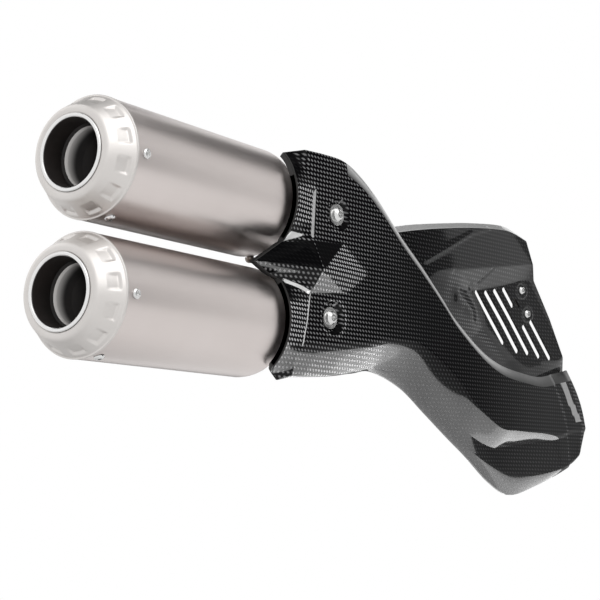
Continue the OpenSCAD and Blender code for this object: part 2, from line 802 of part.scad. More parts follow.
// A closed sheet from a grid of outer points and its thickness along Y
module sheet_from(grid, thickness) {
    columns = len(grid);
    rows = len(grid[0]);
    count = columns * rows;
    outer = [for (column = grid) each column];
    inner = [for (p = outer) p + [0, thickness, 0]];
    quads = [for (i = [0 : columns - 2], j = [0 : rows - 2])
        [i * rows + j, i * rows + j + 1, (i + 1) * rows + j + 1, (i + 1) * rows + j]];
    rim = concat(
        [for (j = [0 : rows - 1]) j],
        [for (i = [1 : columns - 1]) i * rows + rows - 1],
        [for (j = [rows - 2 : -1 : 0]) (columns - 1) * rows + j],
        [for (i = [columns - 2 : -1 : 1]) i * rows]
    );
    polyhedron(
        concat(outer, inner),
        concat(
            [for (q = quads) [q[0], q[2], q[1]]],
            [for (q = quads) [q[0], q[3], q[2]]],
            [for (q = quads) [q[0] + count, q[1] + count, q[2] + count]],
            [for (q = quads) [q[0] + count, q[2] + count, q[3] + count]],
            [for (k = [0 : len(rim) - 1])
                let (a = rim[k], b = rim[(k + 1) % len(rim)]) [a, b, a + count]],
            [for (k = [0 : len(rim) - 1])
                let (a = rim[k], b = rim[(k + 1) % len(rim)]) [b, b + count, a + count]]
        ),
        convexity = 10
    );
}

// Dished recess that seats a washer below the skin, with a hole for the bolt
module dish() {
    difference() {
        peg(dish_d / 2 + dish_wall, 0.01, dish_depth + sheet, round_fn);
        peg(dish_d / 2, -1, dish_depth, round_fn);
        peg(shield_bolt_r + 0.3, 0, dish_depth + sheet + 1);
    }
}

module heat_shield() {
    color(carbon) {
        difference() {
            from_tail() sheet_from(shield_grid, sheet);
            for (side = [UPPER, LOWER])
                on_bolt(side) peg(dish_d / 2 + dish_wall / 2, -20, 20, round_fn);
        }
        for (side = [UPPER, LOWER])
            on_bolt(side) dish();
    }
}

module shield_bolts() {
    color(bright_steel)
        for (side = [UPPER, LOWER])
            on_bolt(side) {
                translate([0, dish_depth - washer_t - 2 * seat_gap, 0]) button_head(head_r, head_h, 2.3);
                peg(shield_bolt_r, dish_depth - washer_t - 1, bolt_depth);
            }
}

module shield_washers() {
    color(bright_steel)
        for (side = [UPPER, LOWER])
            on_bolt(side) difference() {
                peg(washer_d / 2, dish_depth - washer_t - seat_gap, dish_depth - seat_gap, round_fn);
                peg(shield_bolt_r + seat_gap, -20, 20);
            }
}

module shield_posts() {
    color(dark_steel)
        for (side = [UPPER, LOWER])
            difference() {
                on_bolt(side) difference() {
                    peg(post_r, dish_depth + sheet + seat_gap, post_depth);
                    peg(shield_bolt_r + seat_gap, 0, bolt_depth + 2);
                }
                on_muffler(side) rotate([0, 90, 0])
                    cylinder(r = pipe_r + seat_gap, h = inlet_x, $fn = round_fn);
            }
}

module front_stay() {
    color(dark_steel) difference() {
        on_skin(stay_at[0], stay_at[1]) peg(stay_r, sheet + buffer_len + 3 * seat_gap, stay_depth);
        from_tail() bar(link_route[1], link_route[2], pipe_r + seat_gap);
    }
}

module front_buffer() {
    color(rubber) on_skin(stay_at[0], stay_at[1])
        peg(buffer_r, sheet + 2 * seat_gap, sheet + buffer_len + 2 * seat_gap, round_fn);
}

// Heel guard

// Draws on the floor of the heel guard's recess, with local -Y pointing straight out of it
module on_floor(x, z) {
    from_tail() translate([x, floor_y(x), z]) rotate([0, 0, -floor_angle]) children();
}

// A slot of the given length that runs down and forward from its top end
module guard_slot(slot) {
    from_tail() translate([slot[0], 0, slot[1]]) rotate([0, slot_angle, 0]) {
        translate([0, floor_y(slot[0]) - slot_reach, -slot_w / 2])
            cube([slot[2], 2 * slot_reach, slot_w]);
        for (x = [0, slot[2]])
            translate([x, floor_y(slot[0]), 0]) peg(slot_w / 2, -slot_reach, slot_reach);
    }
}

module heel_guard() {
    color(carbon) difference() {
        from_tail() sheet_from([
            for (c = [0 : len(guard_rows[0]) - 1]) [for (row = guard_rows) row[c]]
        ], sheet);
        for (slot = slots) guard_slot(slot);
        for (at = heel_screw_at) on_floor(at[0], at[1]) peg(heel_screw_r + 0.2, -10, 10);
    }
}

module heel_bracket() {
    plate_x = (heel_screw_at[0][0] + heel_screw_at[1][0]) / 2;
    plate_y = sheet + seat_gap;
    end_x = plate_x - bracket_w / 2;
    arm_half_w = bracket_w / 2 - 1;
    arm_start = floor_y(plate_x) + plate_y + bracket_t / 2;
    arm_end = arm_inboard - bracket_t / 2;
    color(dark_steel) difference() {
        union() {
            on_floor(plate_x, 0)
                translate([-bracket_w / 2, plate_y, bracket_low])
                    cube([bracket_w, bracket_t, bracket_high - bracket_low]);
            from_tail() translate([plate_x, 0, bracket_high - bracket_t - 1])
                linear_extrude(bracket_t) polygon([
                    [-arm_half_w, arm_start + arm_half_w * floor_lean], [-arm_half_w, arm_end],
                    [arm_half_w, arm_end], [arm_half_w, arm_start - arm_half_w * floor_lean]
                ]);
            from_tail() translate([end_x, arm_inboard - bracket_t, bracket_high - 2 * bracket_t])
                cube([bracket_w, bracket_t, hanger_h]);
        }
        for (at = heel_screw_at) on_floor(at[0], at[1]) peg(heel_screw_r + seat_gap, -10, 30);
        from_tail() translate([plate_x, arm_inboard, hanger_hole_z]) peg(hanger_hole_r, -bracket_t - 1, 1);
    }
}

module heel_screws() {
    color(bright_steel)
        for (at = heel_screw_at)
            on_floor(at[0], at[1]) {
                translate([0, -seat_gap, 0]) button_head(heel_head_r, 3, 1.6);
                peg(heel_screw_r, -seat_gap - 0.5, sheet + bracket_t + 3);
            }
}

sleeve(UPPER);  // upper_sleeve
sleeve(LOWER);  // lower_sleeve
end_cap(UPPER);  // upper_end_cap
end_cap(LOWER);  // lower_end_cap
outlet_tube(UPPER);  // upper_outlet_tube
outlet_tube(LOWER);  // lower_outlet_tube
noise_insert(UPPER);  // upper_noise_insert
noise_insert(LOWER);  // lower_noise_insert
core(UPPER);  // upper_core
core(LOWER);  // lower_core
packing(UPPER);  // upper_packing
packing(LOWER);  // lower_packing
front_cap(UPPER);  // upper_front_cap
front_cap(LOWER);  // lower_front_cap
cap_screws(UPPER);  // upper_cap_screws
cap_screws(LOWER);  // lower_cap_screws
spacer_stud();
springs(UPPER);  // upper_springs
springs(LOWER);  // lower_springs
link_pipe();
upper_branch();
inlet_socket();
spring_tabs();
inlet_clamp();
clamp_bolt();
clamp_nut();
heat_shield();
shield_bolts();
shield_washers();
shield_posts();
front_stay();
front_buffer();
heel_guard();
heel_bracket();
heel_screws();
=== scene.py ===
import json
import math

import bpy
import numpy as np
from mathutils import Matrix, Vector


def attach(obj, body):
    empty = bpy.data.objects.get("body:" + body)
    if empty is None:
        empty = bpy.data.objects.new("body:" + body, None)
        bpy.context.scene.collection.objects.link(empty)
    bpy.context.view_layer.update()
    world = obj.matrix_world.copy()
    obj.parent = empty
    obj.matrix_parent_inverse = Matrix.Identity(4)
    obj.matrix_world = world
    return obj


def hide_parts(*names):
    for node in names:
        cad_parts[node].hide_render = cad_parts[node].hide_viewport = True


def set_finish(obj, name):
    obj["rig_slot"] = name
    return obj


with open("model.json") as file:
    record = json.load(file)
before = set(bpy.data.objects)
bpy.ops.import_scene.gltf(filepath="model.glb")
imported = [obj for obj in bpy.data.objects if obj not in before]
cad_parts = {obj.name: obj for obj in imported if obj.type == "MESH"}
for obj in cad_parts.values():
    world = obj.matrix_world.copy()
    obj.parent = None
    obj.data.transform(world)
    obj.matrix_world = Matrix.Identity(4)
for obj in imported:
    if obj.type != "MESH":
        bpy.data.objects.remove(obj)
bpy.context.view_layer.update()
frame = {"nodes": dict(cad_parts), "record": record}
nodes = frame["nodes"]

# Shapes are written in millimetres in the mufflers' frame, whose X runs forward, Y inboard and Z up
INLET = np.array([640.0, -66.0, -112.0])
AXIS_Z = {"upper": 55.0, "lower": -55.0}
AXIS_X = {"upper": 3.0, "lower": -3.0}
SHEET = 2.0
SHARP_ANGLE = 30
# Slanted planes, each as an x, the y there and the slope towards the front
SKIN = (260, -58, -0.15)
RECESS_FLOOR = (552, -80, -0.295)


def metres(points):
    """Points of the mufflers' frame in the shared frame, which starts at the inlet and is in metres."""
    return (np.asarray(points, float) - INLET) / 1000


def slant_y(plane, x):
    """Y of a slanted plane."""
    start_x, start_y, slope = plane
    return start_y + slope * (x - start_x)


def smooth(t):
    """Smooth step from 0 to 1."""
    t = np.clip(t, 0, 1)
    return t * t * (3 - 2 * t)


def bell(distance, width):
    """Bell shape that is 1 at no distance."""
    return np.exp(-((distance / width) ** 2))


def side_of(x, z, start, end):
    """How far points lie to the right of a line, times the line's length."""
    (x0, z0), (x1, z1) = start, end
    return (x - x0) * (z1 - z0) - (z - z0) * (x1 - x0)


def along(rows, u):
    """Smooth curve through the rows of a list, at fractional indices."""
    rows = np.asarray(rows, float)
    last = len(rows) - 1
    i = np.clip(np.floor(u).astype(int), 0, last - 1)
    t = (u - i)[:, None]
    p0, p1, p2, p3 = (rows[np.clip(i + k, 0, last)] for k in (-1, 0, 1, 2))
    return 0.5 * (
        2 * p1
        + (p2 - p0) * t
        + (2 * p0 - 5 * p1 + 4 * p2 - p3) * t**2
        + (3 * p1 - p0 - 3 * p2 + p3) * t**3
    )


def mesh_object(name, points, faces):
    """A new object in the scene, from points in metres and faces."""
    mesh = bpy.data.meshes.new(name)
    mesh.from_pydata(points, [], faces)
    thing = bpy.data.objects.new(name, mesh)
    bpy.context.scene.collection.objects.link(thing)
    return thing


def make_piece(name, points, faces, node, slot, sharp=SHARP_ANGLE):
    """A smooth-shaded mesh that stands for a CAD node and rides on the exhaust."""
    piece = mesh_object(name, metres(points).tolist(), faces)
    piece.data.shade_smooth()
    piece.data.set_sharp_from_angle(angle=math.radians(sharp))
    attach(piece, "exhaust")
    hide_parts(node)
    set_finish(piece, slot)
    return piece


def grid_faces(columns, rows, start=0, flip=False, closed=False):
    """Quads of a grid of points that are listed column by column, whose columns may close to rings."""
    quads = []
    for i in range(columns - 1):
        for j in range(rows if closed else rows - 1):
            a = start + i * rows + j
            b = start + i * rows + (j + 1) % rows
            quad = (a, b, b + rows, a + rows)
            quads.append(quad[::-1] if flip else quad)
    return quads


def shell(name, outer, node):
    """A carbon sheet from a grid of outer points, with its thickness inboard."""
    columns, rows = outer.shape[:2]
    count = columns * rows
    outer = outer.reshape(-1, 3)
    points = np.concatenate([outer, outer + [0, SHEET, 0]])
    faces = grid_faces(columns, rows)
    faces += grid_faces(columns, rows, start=count, flip=True)
    rim = list(range(rows))
    rim += [i * rows + rows - 1 for i in range(1, columns)]
    rim += [(columns - 1) * rows + j for j in range(rows - 2, -1, -1)]
    rim += [i * rows for i in range(columns - 2, 0, -1)]
    for a, b in zip(rim, rim[1:] + rim[:1]):
        faces.append((b, a, a + count, b + count))
    return make_piece(name, points, faces, node, "carbon")


# Heat shield rails as x and z, with one station after another from the rear to the front edge
TOP_RAIL = [
    (270, 100.5), (300, 99.5), (324, 92), (354, 73), (391, 42), (426, 16), (458, -10),
    (483, -31), (527, -58), (564, -72), (605, -78), (638, -80), (672, -74), (697, -69),
]
FACE_RAIL = [
    (270, -72), (307, -69), (344, -65), (376, -60), (416, -59), (451, -71), (486, -90),
    (516, -113), (560, -136), (593, -139), (638, -140), (674, -141), (707, -134), (738, -132),
]
FOLD_RAIL = [
    (270, -99), (309, -96), (346, -90), (380, -84), (421, -88), (459, -108), (496, -128),
    (530, -146), (572, -158), (605, -156), (645, -151), (679, -146), (709, -139), (737, -137),
]
RIM_RAIL = [
    (270, -101.5), (309, -98.5), (346, -93), (381, -88), (426, -98), (465, -121), (502, -143),
    (537, -162), (583, -177), (618, -183), (656, -184), (686, -178), (714, -168), (731, -157),
]
BOTTOM_RAIL = [
    (270, -103), (309, -100), (346, -95), (381, -91), (428, -104), (468, -127), (505, -149),
    (540, -169), (585, -195), (622, -208), (660, -198), (690, -184), (716, -172), (729, -160),
]
RAILS = [TOP_RAIL, FACE_RAIL, FOLD_RAIL, RIM_RAIL, BOTTOM_RAIL]
# Step to the fold, step to the rim, curl of the bottom edge, forward bow and share of the top roll
FOLD, RIM, CURL, BOW, ROLL = range(5)
SHAPES = [
    (11, 2, 3, 0, 0), (13, 2, 3, 0, 0.4), (14, 3, 4, 0, 1), (15, 4, 5, 0, 1), (14, 5, 6, 0, 1),
    (13, 6, 6, 0, 1), (13, 6, 6, 0, 1), (14, 5, 6, 0, 1), (17, 2, 8, 0, 1), (16, 1, 9, 0, 1),
    (10, 1, 8, 0, 1), (3, 1, 5, 1, 1), (2, 1, 3, 4, 0.75), (1, 1, 2, 9, 0),
]
FOLD_POWER = 1.3
CURL_POWER = 1.5
# Groove and inboard turn of the front edge, as stations and depths
FRONT_TURN = ((0, 11.6, 11.75, 12.0, 12.5, 13), (0, 0, 2.5, 2, 1, 4))
# Columns of the grid, which are closer together up to the first of these stations
FINE_UNTIL = 2
LAST_STATION = len(SHAPES) - 1
FINE_COLUMNS = 44
PLAIN_COLUMNS = 132
# Rows of the grid below the rolled top: on the face, and on the three strips down to the bottom edge
FACE_ROWS = 120
STRIP_ROWS = (20, 12, 10)
# Rolled top edge
ROLL_R = 28.0
ROLL_WIDTH = 12.0
ROLL_STEPS = np.array([0, 0.7, 1.4, 2.2, 3, 4, 5, 6, 7, 8, 9, 10.3, 12])
# Crease between the collar's band and the shield's face, as height and x
CREASE = [
    (-104, 255), (-90, 249), (-76, 252), (-53, 257), (-28, 260),
    (43, 263), (66, 264), (76, 261), (87, 256), (100, 248),
]
# Height of the face over the collar's band along the crease, as heights and steps
CREASE_STEP = (
    (-104, -80, -76, -30, -27, 21, 24, 64, 67, 104),
    (0, 0, 0.7, 0.7, 0, 0, 2.8, 2.8, 0, 0),
)
STEP_RUN = 0.4
# Collar round both sleeves, with the sweep of its two ends and the share of its height that each takes
COLLAR_R = 58.0
COLLAR_X = 233.25
COLLAR_TOP = 98
COLLAR_BOTTOM = -107
COLLAR_REACH = 35
TOP_SWEEP = 4
TOP_SWEEP_SHARE = 0.1
BOTTOM_SWEEP = 15
BOTTOM_SWEEP_SHARE = 0.05
LIP = 4.5
BAND_STEPS = 32
RUN_STEPS = 8
# Fin, with the reach of its tail above and below the tip
FIN_TIP = np.array([195.0, -42.0, -7.0])
TAIL_ABOVE = 23
TAIL_BELOW = 13
FIN_PEAK = (262.0, -7.6)
FIN_RISE = 13.0
FIN_EDGES = [
    ((262.6, 19.9), (303.7, 21.7)), ((303.7, 21.7), (340, -2)),
    ((340, -2), (308.7, -24.2)), ((308.7, -24.2), (260.4, -29.3)),
]
# Dishes under the bolts, each with a raised ring round it, on a skin that is longer than its run in x
BOLTS = [(296, 48), (290, -48)]
SKIN_STRETCH = 1.01
DISH_R = 15.5
DISH_WALL = 2.5
DISH_DEPTH = 4.0
DISH_RING_R = 17.0
DISH_RING_WIDTH = 2.0
DISH_RING_RISE = 0.7


def fin_height(x, z):
    """Faceted roof that rises from four edges on the skin to the fin's peak."""
    height = np.full(np.shape(x), FIN_RISE)
    for start, end in FIN_EDGES:
        share = side_of(x, z, start, end) / side_of(*FIN_PEAK, start, end)
        height = np.minimum(height, FIN_RISE * share)
    return np.maximum(height, 0)


def dish_step(x, z):
    """Round recesses under the shield's bolts."""
    step = np.zeros(np.shape(x))
    for bolt_x, bolt_z in BOLTS:
        reach = np.hypot((x - bolt_x) * SKIN_STRETCH, z - bolt_z)
        step = np.maximum(step, DISH_DEPTH * smooth((DISH_R - reach) / DISH_WALL))
        step = step - DISH_RING_RISE * bell(reach - DISH_RING_R, DISH_RING_WIDTH)
    return step


def shield_places(span):
    """Rows of the grid at each station: close steps over the rolled top edge, then even ones."""
    roll = ROLL_STEPS / span[:, None]
    face = roll[:, -1:] + (1 - roll[:, -1:]) * np.linspace(0, 1, FACE_ROWS + 1)[1:]
    strips = [np.linspace(k, k + 1, rows + 1)[1:] for k, rows in enumerate(STRIP_ROWS, 1)]
    flank = np.concatenate(strips)
    return np.concatenate([roll, face, np.broadcast_to(flank, (len(span), len(flank)))], axis=1)


def shield_step(shape, place, span):
    """How far the sheet lies inboard of its plain face."""
    into_roll = np.clip(ROLL_WIDTH - place * span, 0, ROLL_WIDTH)
    return (
        shape[..., ROLL] * (ROLL_R - np.sqrt(ROLL_R**2 - into_roll**2))
        + shape[..., FOLD] * np.clip(place - 1, 0, 1) ** FOLD_POWER
        + shape[..., RIM] * np.clip(place - 2, 0, 1)
        + shape[..., CURL] * np.clip(place - 3, 0, 1) ** CURL_POWER
    )


def shield_face():
    """Grid of the face and its flank, and the places and span of its first column."""
    fine = np.linspace(0, FINE_UNTIL, FINE_COLUMNS + 1)[:-1]
    plain = np.linspace(FINE_UNTIL, LAST_STATION, PLAIN_COLUMNS + 1)
    stations = np.concatenate([fine, plain])
    rails = np.array([along(rail, stations) for rail in RAILS])
    shapes = along(SHAPES, stations)[:, None]
    span = np.linalg.norm(rails[1] - rails[0], axis=1)
    place = shield_places(span)
    k = np.minimum(place.astype(int), len(RAILS) - 2)
    i = np.arange(len(stations))[:, None]
    at = rails[k, i] + (rails[k + 1, i] - rails[k, i]) * (place - k)[..., None]
    x, z = at[..., 0], at[..., 1]
    bow = shapes[..., BOW] * np.sin(np.pi * np.minimum(place, 1))
    turn = np.interp(stations, *FRONT_TURN)[:, None]
    y = slant_y(SKIN, x) + turn + shield_step(shapes, place, span[:, None])
    y = y - fin_height(x, z) + dish_step(x, z)
    return np.stack([x + bow, y, z], axis=2), place[0], span[0]


def shield_crease(share, place, span):
    """Line between the collar's band and the face, from shares of its height."""
    bottom, top = CREASE[0][0], CREASE[-1][0]
    z = top + (bottom - top) * share
    x = np.interp(z, *zip(*CREASE))
    y = slant_y(SKIN, x) + shield_step(np.array(SHAPES[0], float), place, span) - fin_height(x, z)
    return np.stack([x, y, z], axis=1)


def collar_edge(share):
    """Rear edge of the collar, which runs out to the fin's tip, and the end of its turned-in lip."""
    z = COLLAR_TOP + (COLLAR_BOTTOM - COLLAR_TOP) * share
    upper = z > FIN_TIP[2]
    rise = z - np.where(upper, AXIS_Z["upper"], AXIS_Z["lower"])
    ring_y = np.sqrt(np.maximum(COLLAR_R**2 - rise**2, 0))
    tail = np.clip(1 - np.abs(z - FIN_TIP[2]) / np.where(upper, TAIL_ABOVE, TAIL_BELOW), 0, 1)
    sweep = TOP_SWEEP * np.clip(1 - share / TOP_SWEEP_SHARE, 0, 1)
    sweep = sweep + BOTTOM_SWEEP * np.clip(1 - (1 - share) / BOTTOM_SWEEP_SHARE, 0, 1)
    ring_x = COLLAR_X + np.where(upper, AXIS_X["upper"], AXIS_X["lower"]) + sweep
    edge_y = -np.maximum(ring_y, np.where(tail > 0, -FIN_TIP[1], COLLAR_REACH))
    edge = np.stack([ring_x + (FIN_TIP[0] - ring_x) * tail, edge_y, z], axis=1)
    inward = np.stack([np.zeros(len(z)), -edge_y, -rise], axis=1)
    inward[tail > 0] = (0, 1, 0)
    lip = edge + LIP * inward / np.linalg.norm(inward, axis=1)[:, None]
    return edge, lip


def shield_grid():
    """Columns of the whole shield: lip, collar's band, run from the crease to the face, and face."""
    face, place, span = shield_face()
    rear_z = np.array([rail[0][1] for rail in RAILS], float)
    share = (rear_z[0] - np.interp(place, range(len(RAILS)), rear_z)) / (rear_z[0] - rear_z[-1])
    crease = shield_crease(share, place, span)
    edge, lip = collar_edge(share)
    foot = crease - [STEP_RUN, 0, 0]
    foot[:, 1] += np.interp(crease[:, 2], *CREASE_STEP)
    band = [edge + (foot - edge) * t for t in np.linspace(0, 1, BAND_STEPS + 1)]
    run = [crease + (face[0] - crease) * t for t in np.linspace(0, 1, RUN_STEPS + 1)[:-1]]
    return np.concatenate([lip[None], np.array(band), np.array(run), face])


# Heel guard rows from the top edge down, each from the rear to the front edge
GUARD_ROWS = [
    [(381, -59, 48), (420, -67, 57), (465, -76, 65),
     (520, -85, 73), (578, -93, 78.5), (604, -100, 73)],
    [(379, -68, 42), (418, -76, 51), (462, -85, 59),
     (517, -94, 67), (574, -103, 71.5), (607, -110, 65)],
    [(430, -74, 11), (466, -82, 17), (502, -89, 22),
     (558, -99, 31), (613, -109, 40), (623, -111, 41)],
    [(455, -78, -26), (500, -80, -8), (545, -78, 5),
     (590, -91, 16), (624, -101, 25), (634, -107, 25)],
    [(503, -86, -64), (536, -85, -42), (564, -83.5, -31),
     (604, -95.5, -22), (650, -109, -16), (661, -114, -14)],
    [(545, -93, -88), (578, -95, -72), (608, -96.5, -63),
     (640, -106, -61), (675, -116.5, -60), (685, -120, -55)],
    [(552, -94, -95), (588, -99, -86), (617, -104.5, -85),
     (648, -107, -83), (682, -108.5, -82), (705, -111, -78)],
]
GUARD_COLUMNS = 250
GUARD_STEPS = (8, 40, 30, 40, 40, 20)
GUARD_PASSES = 2
# Lines pressed into the guard, with their width and depth inboard
GUARD_MARKS = [
    ([(488, 18), (510, 16), (530, 11), (541, 5)], 2.5, 0.7),
    ([(505, -5), (519, -9), (533, -17)], 9.0, -2.5),
    ([(546, 13), (553, 29)], 1.0, 0.8),
    ([(440, 24), (453, 31), (511, 61), (540, 70)], 3.0, -0.9),
]
GUARD_SCREWS = [(618, 13), (627, -12)]
SCREW_RING_R = 8
SCREW_RING_WIDTH = 1.3
SCREW_RING_RISE = 0.9
# Top end, length and width of each slot
SLOTS = [
    (551, 4, 64, 6), (566, 5, 75, 6), (579, 8, 80, 6), (592, 11, 20, 6),
    (623, -27, 38, 6), (634, -20, 48, 6), (609, 2, 9, 3),
]
SLOT_ANGLE = 51
SLOT_REACH = 30
SLOT_ARC = 13


def near_line(x, z, line, width):
    """Bell shape across a line, 1 on it."""
    reach = np.full(x.shape, np.inf)
    for (x0, z0), (x1, z1) in zip(line, line[1:]):
        run = np.array([x1 - x0, z1 - z0])
        share = np.clip(((x - x0) * run[0] + (z - z0) * run[1]) / (run @ run), 0, 1)
        reach = np.minimum(reach, np.hypot(x - x0 - share * run[0], z - z0 - share * run[1]))
    return bell(reach, width)


def guard_grid():
    """Columns of the guard, smoothed across its rows, with its pressed lines and screw rings."""
    columns = np.linspace(0, len(GUARD_ROWS[0]) - 1, GUARD_COLUMNS + 1)
    rows = np.array([along(row, columns) for row in GUARD_ROWS])
    legs = []
    for top, bottom, steps in zip(rows, rows[1:], GUARD_STEPS):
        legs.append(top + (bottom - top) * np.linspace(0, 1, steps + 1)[:-1, None, None])
    grid = np.concatenate([*legs, rows[-1:]])
    for _ in range(GUARD_PASSES):
        grid[1:-1] = (grid[:-2] + 2 * grid[1:-1] + grid[2:]) / 4
    x, z = grid[..., 0], grid[..., 2]
    for line, width, depth in GUARD_MARKS:
        grid[..., 1] += depth * near_line(x, z, line, width)
    for screw_x, screw_z in GUARD_SCREWS:
        off_ring = np.hypot(x - screw_x, z - screw_z) - SCREW_RING_R
        grid[..., 1] -= SCREW_RING_RISE * bell(off_ring, SCREW_RING_WIDTH)
    return grid.transpose(1, 0, 2)


def slot_cutter():
    """One rounded bar through the guard's floor for each slot."""
    lean = math.radians(SLOT_ANGLE)
    arc = np.linspace(-90, 90, SLOT_ARC)
    ends = np.radians(np.concatenate([arc + 180, arc]))
    far_end = np.repeat([0, 1], SLOT_ARC)
    count = len(ends)
    points, faces = [], []
    for x, z, length, width in SLOTS:
        run = far_end * length + width / 2 * np.cos(ends)
        rise = width / 2 * np.sin(ends)
        at_x = x + run * math.cos(lean) + rise * math.sin(lean)
        at_z = z - run * math.sin(lean) + rise * math.cos(lean)
        start = count * len(points)
        floor = slant_y(RECESS_FLOOR, x)
        for y in (floor - SLOT_REACH, floor + SLOT_REACH):
            points.append(np.stack([at_x, np.full(count, y), at_z], axis=1))
        near = [start + k for k in range(count)]
        far = [k + count for k in near]
        faces += [tuple(near), tuple(far[::-1])]
        for a, b, c, d in zip(near, near[1:] + near[:1], far[1:] + far[:1], far):
            faces.append((b, a, d, c))
    return mesh_object("slot_cutter", metres(np.concatenate(points)).tolist(), faces)


def heel_guard():
    """The guard's sheet with its slots cut through."""
    piece = shell("carbon_guard", guard_grid(), "heel_guard")
    cutter = slot_cutter()
    cut = piece.modifiers.new("slots", "BOOLEAN")
    cut.object = cutter
    mesh = bpy.data.meshes.new_from_object(piece.evaluated_get(bpy.context.evaluated_depsgraph_get()))
    mesh.set_sharp_from_angle(angle=math.radians(SHARP_ANGLE))
    piece.modifiers.clear()
    piece.data = mesh
    bpy.data.objects.remove(cutter)
    return piece


# End cap sections as radius and station along the muffler: face, then rim and inside
CAP_FACE = [
    (29.65, -0.5), (31.4, -0.5), (31.4, -2.3), (31.9, -2.8), (32.8, -3.1), (34.2, -3.2), (35.4, -3.0),
    (36.6, -2.5), (37.7, -1.7), (38.5, -0.7), (39.2, 0.6), (41, 3.7),
]
CAP_RIM = [
    (48.9, 18.2), (49.5, 18.5), (50.1, 18.6), (50.3, 18.9), (50.3, 20.2), (50.1, 20.5), (48.65, 20.5),
    (48.65, 35.5), (46.15, 35.5), (46.15, 23.5), (38.4, 17), (33.65, 8), (29.65, 8),
]
CAP_SHARP_ANGLE = 42
CAP_COLUMNS = 720
FLANK_ROWS = 40
# Scoops in the flank, which start at a radius and end at a wall near the rim
SCOOPS = 12
SCOOP_TURN = {"upper": 15, "lower": 10}
SCOOP_DEPTH = 2.3
SCOOP_HALF_WIDTH = 7.8
SCOOP_WALL = 3.2
SCOOP_END = 16
SCOOP_END_WALL = 1.8
SCOOP_START_R = 41.6
SCOOP_RUN = 5.8


def cap_points(which):
    """A turned cap whose flank dips into a ring of scoops that run out towards its face."""
    flank = np.linspace(CAP_FACE[-1], CAP_RIM[0], FLANK_ROWS + 2)[1:-1]
    radius, station = np.concatenate([CAP_FACE, flank, CAP_RIM]).T
    turns = np.linspace(0, 2 * math.pi, CAP_COLUMNS, endpoint=False)[:, None]
    pitch = 2 * math.pi / SCOOPS
    offset = turns - math.radians(SCOOP_TURN[which])
    across = np.abs((offset + pitch / 2) % pitch - pitch / 2) * radius
    walls = smooth((SCOOP_HALF_WIDTH - across) / SCOOP_WALL)
    end = smooth((SCOOP_END - station) / SCOOP_END_WALL)
    dip = np.clip((radius - SCOOP_START_R) / SCOOP_RUN, 0, 1)
    radius = radius - SCOOP_DEPTH * dip * walls * end
    x = np.broadcast_to(AXIS_X[which] + station, radius.shape)
    y = -radius * np.cos(turns)
    z = AXIS_Z[which] + radius * np.sin(turns)
    return np.stack([x, y, z], axis=2)


def end_cap(which):
    """One muffler's end cap, closed round its axis and round its section."""
    points = cap_points(which)
    columns, rows = points.shape[:2]
    faces = []
    for i in range(columns):
        for j in range(rows):
            a, b = i * rows, (i + 1) % columns * rows
            k = (j + 1) % rows
            faces.append((b + j, a + j, a + k, b + k))
    name, node = which + "_cast_cap", which + "_end_cap"
    return make_piece(name, points.reshape(-1, 3), faces, node, "cast_silver", CAP_SHARP_ANGLE)


# Retaining springs, at these turns round each muffler
SPRING_TURNS = {"upper": (180, -90), "lower": (180, 90)}
SPRING_SHARP_ANGLE = 60
SPRING_START = 261.0
SPRING_AXIS_R = 38.0
COIL_R = 6.0
COIL_LEN = 37.6
CURLS = 10
CURL_STEPS = 24
LEAD = 2.0
BEND_R = 3.0
BEND_STEPS = 7
WIRE_R = 1.0
WIRE_SIDES = 10
# A direction that the wire never follows
ASIDE = (1.0, 0.05, 0.02)


def spring_line():
    """Straight lead, quarter bend, coils, quarter bend and straight lead."""
    bend = np.radians(np.linspace(90, 0, BEND_STEPS + 1)[:-1])
    lead = BEND_R * np.stack([np.cos(bend) - 1, np.zeros(BEND_STEPS), np.sin(bend)], axis=1)
    lead = np.concatenate([lead[:1] - [LEAD, 0, 0], lead])
    turn = np.pi + np.linspace(0, 2 * np.pi * CURLS, CURL_STEPS * CURLS + 1)
    run = COIL_LEN * np.linspace(0, 1, len(turn))
    coil = np.stack([run, COIL_R * np.cos(turn), COIL_R * np.sin(turn)], axis=1)
    foot = np.array([0, -COIL_R, 0])
    return np.concatenate([foot + lead, coil, foot + [COIL_LEN, 0, 0] - lead[::-1]])


def tube_points(line, radius, sides):
    """Rings of points round a line."""
    tangent = np.gradient(line, axis=0)
    tangent /= np.linalg.norm(tangent, axis=1)[:, None]
    side = np.cross(tangent, ASIDE)
    side /= np.linalg.norm(side, axis=1)[:, None]
    up = np.cross(tangent, side)
    turn = np.linspace(0, 2 * np.pi, sides, endpoint=False)
    spokes = np.cos(turn)[None, :, None] * side[:, None] + np.sin(turn)[None, :, None] * up[:, None]
    return line[:, None] + radius * spokes


def springs(which):
    """Both springs of one muffler."""
    line = spring_line() * [1, -1, -1]
    wire = tube_points(line, WIRE_R, WIRE_SIDES).reshape(-1, 3) + [SPRING_START, -SPRING_AXIS_R, 0]
    points, faces = [], []
    for turn in SPRING_TURNS[which]:
        start = len(points) * len(wire)
        end = start + (len(line) - 1) * WIRE_SIDES
        angle = math.radians(turn)
        y = wire[:, 1] * math.cos(angle) + wire[:, 2] * math.sin(angle)
        z = -wire[:, 1] * math.sin(angle) + wire[:, 2] * math.cos(angle)
        points.append(np.stack([wire[:, 0] + AXIS_X[which], y, z + AXIS_Z[which]], axis=1))
        faces += grid_faces(len(line), WIRE_SIDES, start=start, closed=True)
        faces.append(tuple(start + k for k in range(WIRE_SIDES)))
        faces.append(tuple(end + k for k in reversed(range(WIRE_SIDES))))
    name, node = which + "_wire_springs", which + "_springs"
    return make_piece(name, np.concatenate(points), faces, node, "bright_steel", SPRING_SHARP_ANGLE)


